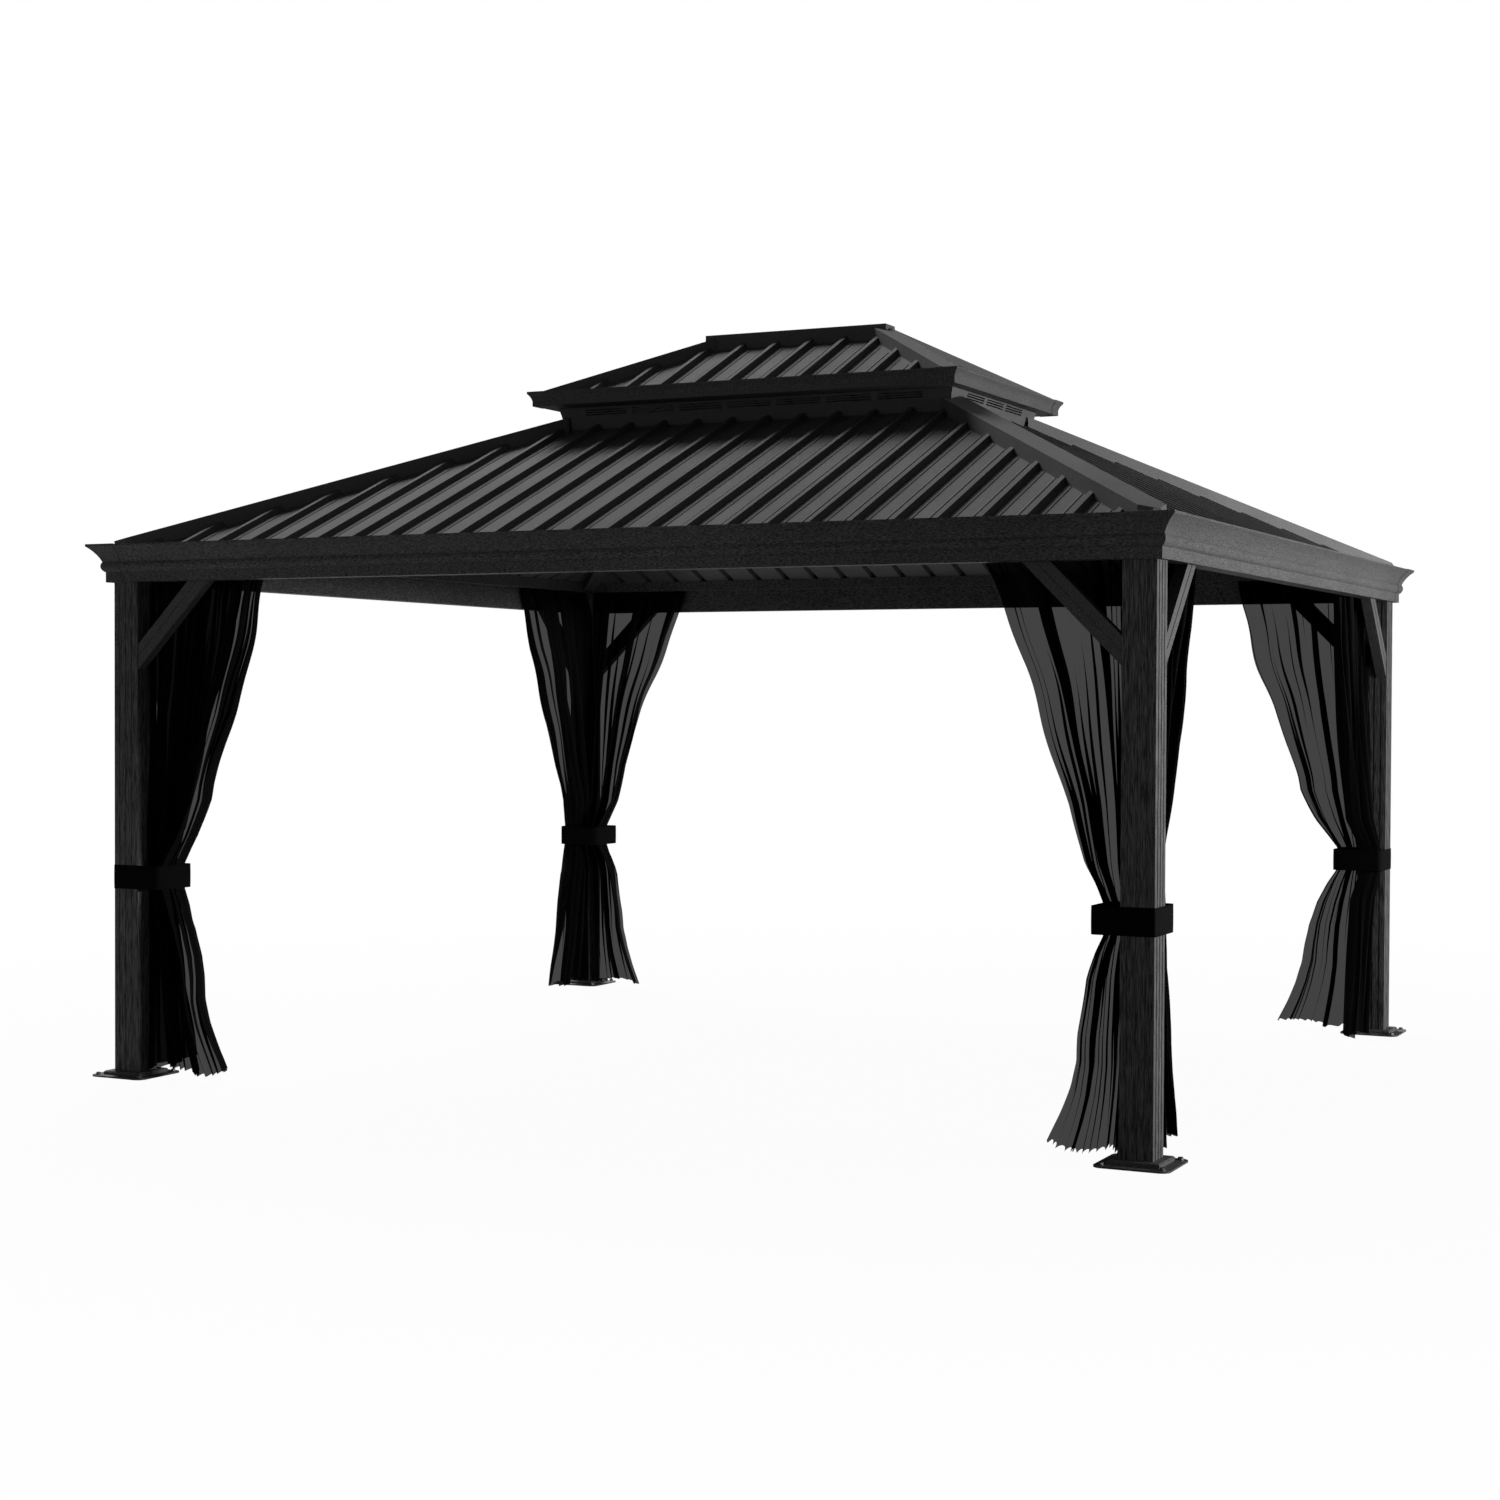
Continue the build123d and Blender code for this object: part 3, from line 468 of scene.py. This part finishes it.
def net_wing(sx, sy, on_short_side, seed, cloth_width, folds, spare):
    """One wing as a grid: u runs across the cloth, from the post to the free edge, and the height down
    from the ledge to the hem. Distance along the beam is the wing's width at that height times a bunched
    u, less the lap of each fold over the next. Distance from the beam's outer face is the wing's middle
    plus waves of broad and of narrow folds, kept inside the room that the wing has at that height."""
    draw = np.random.default_rng(seed)

    def any_start():
        """Where a wave starts, in radians."""
        return draw.uniform(0, 6.28)

    u = np.linspace(0, 1, folds * 16 + 1)[None, :]
    above = np.linspace(ledge_level, tie_top + 0.01, 60)
    tied = np.linspace(tie_top, tie_foot, 9)
    below = np.linspace(tie_foot - 0.01, hem_level, 40)
    height = np.concatenate([above, tied, below])[:, None]
    levels = (0.03, 0.12, 0.21, 0.30, 0.39, 0.57, 0.66, 0.72, 0.82, 0.94, 1.13, 1.33, 1.52, 1.71, 2.01)
    if on_short_side:
        tied_depth = 0.098
        widths = (
            0.30, 0.27, 0.235, 0.205, 0.185, 0.15, 0.115, 0.09, 0.09, 0.16, 0.24, 0.32, 0.42, 0.50, 0.585
        )
    else:
        tied_depth = 0.190
        widths = (
            0.275, 0.235, 0.198, 0.172, 0.168, 0.142, 0.115, 0.09, 0.09, 0.15, 0.203, 0.275, 0.346, 0.42, 0.53
        )
    slack = np.clip(np.abs(height - tie_level) / 0.3, 0, 1)
    width = np.interp(height, levels, widths) + spare * slack * np.clip((2.6 - height) / 1.2, 0, 1)
    stops = (0.03, 0.60, 0.72, 0.82, 0.95, 1.25, 1.56, 1.90, 2.01)
    tied_middle, tied_room = tied_depth / 2 + 0.009, tied_depth / 2 - 0.003
    middles = (0.076, 0.080, tied_middle, tied_middle, 0.092, 0.096, 0.098, 0.088, 0.072)
    rooms = (0.060, 0.066, tied_room, tied_room, 0.066, 0.056, 0.046, 0.034, 0.0165)
    middle, room_in = np.interp(height, stops, middles), np.interp(height, stops, rooms)
    bunch = np.zeros_like(u)
    for waves in (2, 3, 5, 8):
        strength = draw.uniform(0.35, 0.70) / (2 * np.pi * waves)
        bunch = bunch + strength * np.sin(2 * np.pi * waves * u + any_start())
    bunch = bunch - (bunch[:, :1] * (1 - u) + bunch[:, -1:] * u)
    along = width * (u + bunch)
    pitch = width / folds
    depth = np.minimum(0.25 * np.sqrt((cloth_width / folds) ** 2 - pitch**2), room_in)
    drift = 1.1 * np.sin(height * 2.1 + any_start()) * np.sin(2 * np.pi * 1.5 * u)
    drift = drift + 0.9 * np.sin(height * 4.3 + 2 * np.pi * 3.7 * u + any_start())
    fold = np.sin(2 * np.pi * folds * u + drift)
    broad = np.sin(2 * np.pi * 2.6 * u + any_start() + 0.4 * np.sin(height * 3.0))
    full = 0.5 + 0.5 * np.sin(height * 5.2 + 2 * np.pi * 2.7 * u + any_start())
    calm = np.interp(height, (0.03, 0.35, 0.66), (0.60, 0.75, 1.0))
    narrow = calm * (0.5 + 0.5 * full) * depth * fold
    inside = middle + np.clip(narrow + 0.45 * room_in * broad, -room_in, room_in)
    away_from_edges = np.clip(8 * u * (1 - u), 0, 1)
    lap = 0.36 * calm * pitch * (0.25 + full) * np.cos(2 * np.pi * folds * u + drift) * away_from_edges
    sway = 0.012 * np.sin(height * 8.0 + any_start()) + 0.006 * np.sin(height * 19.0 + any_start())
    along = along - lap + sway * slack * u**2 * np.clip(width / 0.45, 0, 1)
    reach_limit, post_gap = 0.588, 0.0015
    along = np.clip(along, 0.0, reach_limit) + post_gap
    near_hem = np.clip((0.7 - height) / 0.67, 0, 1)
    wave = 0.005 * fold + 0.012 * np.sin(2 * np.pi * 1.3 * u + seed)
    plate_reach, over_plate, over_floor = 0.036, 0.024, 0.006
    lowest = np.where(along < plate_reach, over_plate, over_floor)
    level = np.maximum(np.broadcast_to(height, along.shape) + near_hem * wave, lowest)
    a, b = along + post_size, np.broadcast_to(inside, along.shape)
    if on_short_side:
        a, b = b, a
    points = np.stack([sx * (half_length - a), sy * (half_width - b), level], -1)
    rows, columns = points.shape[:2]
    row, column = np.meshgrid(np.arange(rows - 1), np.arange(columns - 1), indexing="ij")
    first = row * columns + column
    faces = np.stack([first, first + 1, first + columns + 1, first + columns], -1).reshape(-1, 4)
    return points.reshape(-1, 3), faces


net_drop, first_seed = 1.985, 31
fuller = {"front_left": 0.060, "rear_right": 0.085}
for number, (corner, (sx, sy)) in enumerate(corners.items()):
    for on_short_side, word, beam, cloth_width, folds in (
        (False, "long_side", "front" if sy < 0 else "rear", 1.90, 17),
        (True, "short_side", "right" if sx > 0 else "left", 1.66, 15),
    ):
        spare = 0.0 if on_short_side else fuller.get(corner, 0.0)
        seed = first_seed + 2 * number + on_short_side
        points, faces = net_wing(sx, sy, on_short_side, seed, cloth_width, folds, spare)
        wing = make_piece(f"net_wing_{corner}_{word}", points, faces, net_cloth, smooth=True)
        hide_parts(f"netting_{corner}")

# Tie straps: bands of black woven tape, each pulled round a post and its two wings of netting.
# The gathered cloth fills the loop, and the tape is as wide as a hand.
def strap_finish():
    """Woven tape: fine threads along it as one set of uneven waves, which tint the black a little and
    raise it by a fraction of a millimetre."""
    tape = bpy.data.materials.new("strap_tape")
    made, links, out = graph(tape)
    place = made.new("ShaderNodeTexCoord").outputs["Object"]
    weave = made.new("ShaderNodeTexWave")
    weave.bands_direction = "Z"
    weave.inputs["Scale"].default_value = 140.0
    weave.inputs["Distortion"].default_value = 0.6
    links.new(place, weave.inputs["Vector"])
    tint = made.new("ShaderNodeValToRGB")
    tint.color_ramp.elements[0].color = (0.0015, 0.0015, 0.0015, 1)
    tint.color_ramp.elements[1].color = (0.004, 0.004, 0.004, 1)
    links.new(weave.outputs["Fac"], tint.inputs["Fac"])
    bump = made.new("ShaderNodeBump")
    bump.inputs["Strength"].default_value = 0.35
    bump.inputs["Distance"].default_value = 0.0008
    links.new(weave.outputs["Fac"], bump.inputs["Height"])
    cloth = made.new("ShaderNodeBsdfPrincipled")
    cloth.inputs["Roughness"].default_value = 0.85
    cloth.inputs["Specular IOR Level"].default_value = 0.05
    links.new(tint.outputs["Color"], cloth.inputs["Base Color"])
    links.new(bump.outputs["Normal"], cloth.inputs["Normal"])
    links.new(cloth.outputs["BSDF"], out.inputs["Surface"])
    return tape


strap_cloth = strap_finish()
strap_width = 0.091


def strap_loop(sx, sy):
    """Band round a square loop with rounded corners. Every corner becomes a curve, the sum of its start
    times the square of 1 - t, the corner times 2 t (1 - t) and its end times the square of t. The band
    runs from its lower to its upper edge and bows outwards a little in between."""
    outer, reach = -0.0022, post_size + 0.0985
    loop = np.array([(outer, outer), (reach, outer), (reach, reach), (outer, reach)])
    radii = np.array([0.006, 0.022, 0.034, 0.022])
    before, after = np.roll(loop, 1, 0), np.roll(loop, -1, 0)
    to_before = (before - loop) / np.linalg.norm(before - loop, axis=1)[:, None]
    to_after = (after - loop) / np.linalg.norm(after - loop, axis=1)[:, None]
    t = np.linspace(0, 1, 9)[None, :, None]
    start, end = loop + to_before * radii[:, None], loop + to_after * radii[:, None]
    arcs = (1 - t) ** 2 * start[:, None] + 2 * t * (1 - t) * loop[:, None] + t**2 * end[:, None]
    path = arcs.reshape(-1, 2)
    v = np.linspace(-1, 1, 13)[:, None]
    centre = path.mean(0)
    out = (path - centre) / np.linalg.norm(path - centre, axis=1)[:, None]
    bow = 0.0006 * (1 - v**2)
    plan = path[None] + out[None] * bow[..., None]
    level = np.broadcast_to(tie_level + strap_width / 2 * v, plan.shape[:2])
    points = np.stack([sx * (half_length - plan[..., 0]), sy * (half_width - plan[..., 1]), level], -1)
    rows, columns = points.shape[:2]
    row, column = np.meshgrid(np.arange(rows - 1), np.arange(columns), indexing="ij")
    after_it = (column + 1) % columns
    this, above = row * columns, (row + 1) * columns
    faces = np.stack([this + column, this + after_it, above + after_it, above + column], -1).reshape(-1, 4)
    length = np.linalg.norm(np.diff(np.vstack([path, path[:1]]), axis=0), axis=1).sum()
    return points.reshape(-1, 3), faces if sx * sy < 0 else faces[:, ::-1], length


for corner, (sx, sy) in corners.items():
    points, faces, length = strap_loop(sx, sy)
    strap = make_piece(f"strap_{corner}", points, faces, strap_cloth, smooth=True)
    thick = strap.modifiers.new("tape", "SOLIDIFY")
    thick.thickness = 0.0018
    thick.offset = 0.0
    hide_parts(f"tie_strap_{corner}")
